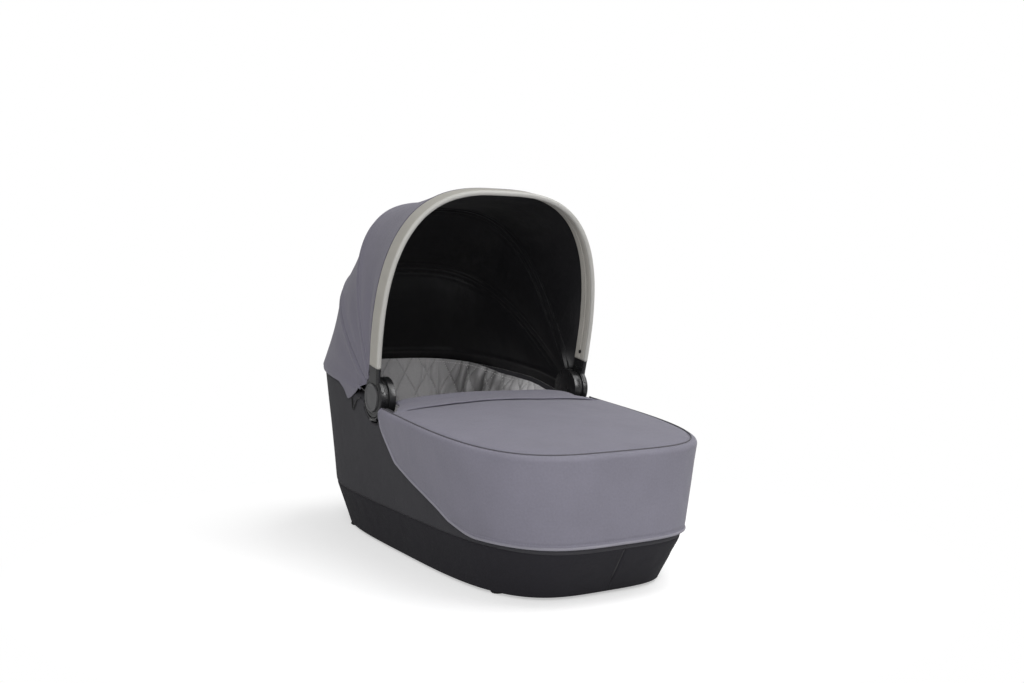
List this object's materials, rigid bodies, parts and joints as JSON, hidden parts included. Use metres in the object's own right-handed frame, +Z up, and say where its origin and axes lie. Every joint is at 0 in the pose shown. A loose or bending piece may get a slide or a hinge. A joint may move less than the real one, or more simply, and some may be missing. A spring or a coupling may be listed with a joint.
{
  "type": "pram carrycot",
  "caption": "Soft-sided pram carrycot with folding hood on hub-mounted bows, leather-look carry handle, fitted apron with wind flap, quilted liner and mattress.",
  "frame": {"origin": "middle of the footprint of the whole carrycot, on the floor under its feet", "axes": "+X to the carrycot's right along the hub axis, +Y towards the head end and the hood, +Z up"},
  "size_m": [0.4214, 0.8086, 0.6029],
  "materials": {
    "moulding": "satin",
    "button": "satin",
    "tube": "satin",
    "steel": "satin",
    "tray": "matte",
    "rubber": "matte",
    "board": "matte",
    "band_cloth": "woven, matte",
    "cover_cloth": "woven, matte",
    "liner_cloth": "quilted, matte",
    "mattress_cloth": "woven, matte",
    "hood_cloth": "fine woven, matte",
    "lining_cloth": "smooth, matte",
    "apron_cloth": "fine woven, matte",
    "piping": "corded, matte",
    "elastic": "matte",
    "wrap": "smooth, satin"
  },
  "bodies": {
    "cot": {"base_tray": "tray", "foot_front_left": "rubber", "foot_front_right": "rubber", "foot_rear_left": "rubber", "foot_rear_right": "rubber", "base_board": "board", "mattress": "mattress_cloth", "cover_band": "band_cloth", "cover_side": "cover_cloth", "liner": "liner_cloth", "rim_tube_head": "tube", "rim_tube_foot": "tube", "stay_head": "steel", "stay_foot": "steel", "hub_housing_left": "moulding", "hub_housing_right": "moulding", "retaining_washer_left": "steel", "retaining_washer_right": "steel", "hood_loop_left": "elastic", "hood_loop_right": "elastic", "apron_top": "apron_cloth", "apron_skirt": "apron_cloth", "apron_hem_piping": "piping", "apron_seam_piping": "piping"},
    "rear_bow": {"rear_bow": "moulding", "hood_rear": "hood_cloth", "lining_rear": "lining_cloth"},
    "mid_bow": {"mid_bow": "moulding", "hood_middle": "hood_cloth", "lining_middle": "lining_cloth"},
    "handle": {"handle_arm_left": "moulding", "handle_arm_right": "moulding", "handle_core": "tube", "handle_wrap": "wrap", "handle_screw_left": "steel", "handle_screw_right": "steel", "hood_front": "hood_cloth", "lining_front": "lining_cloth"},
    "button_left": {"hub_button_left": "button", "button_spring_left": "steel"},
    "button_right": {"hub_button_right": "button", "button_spring_right": "steel"},
    "wind_flap": {"wind_flap": "apron_cloth"}
  },
  "joints": [
    {"name": "rear_bow_hinge", "type": "hinge", "parent": "cot", "child": "rear_bow", "pos_m": [0, 0.01381, 0.263], "axis": [-1, 0, 0], "range_deg": [0, 28], "deforming": ["hood_rear", "lining_rear"]},
    {"name": "mid_bow_hinge", "type": "hinge", "parent": "rear_bow", "child": "mid_bow", "pos_m": [0, 0.01381, 0.263], "axis": [-1, 0, 0], "range_deg": [0, 22], "deforming": ["hood_middle", "lining_middle"]},
    {"name": "handle_hinge", "type": "hinge", "parent": "mid_bow", "child": "handle", "pos_m": [0, 0.01381, 0.263], "axis": [-1, 0, 0], "range_deg": [0, 31], "deforming": ["hood_front", "lining_front"]},
    {"name": "button_left_press", "type": "slide", "parent": "cot", "child": "button_left", "axis": [1, 0, 0], "range_m": [0, 0.0025], "stiffness_N_per_m": 500, "springref_m": -0.004, "deforming": ["button_spring_left"]},
    {"name": "button_right_press", "type": "slide", "parent": "cot", "child": "button_right", "axis": [-1, 0, 0], "range_m": [0, 0.0025], "stiffness_N_per_m": 500, "springref_m": -0.004, "deforming": ["button_spring_right"]},
    {"name": "wind_flap_hinge", "type": "hinge", "parent": "cot", "child": "wind_flap", "pos_m": [0, -0.00416, 0.2512], "axis": [-1, 0, 0], "range_deg": [0, 100]}
  ],
  "couplings": [
    {"joint": "mid_bow_hinge", "follows": "rear_bow_hinge", "ratio": 0.7857},
    {"joint": "handle_hinge", "follows": "rear_bow_hinge", "ratio": 1.1071}
  ]
}
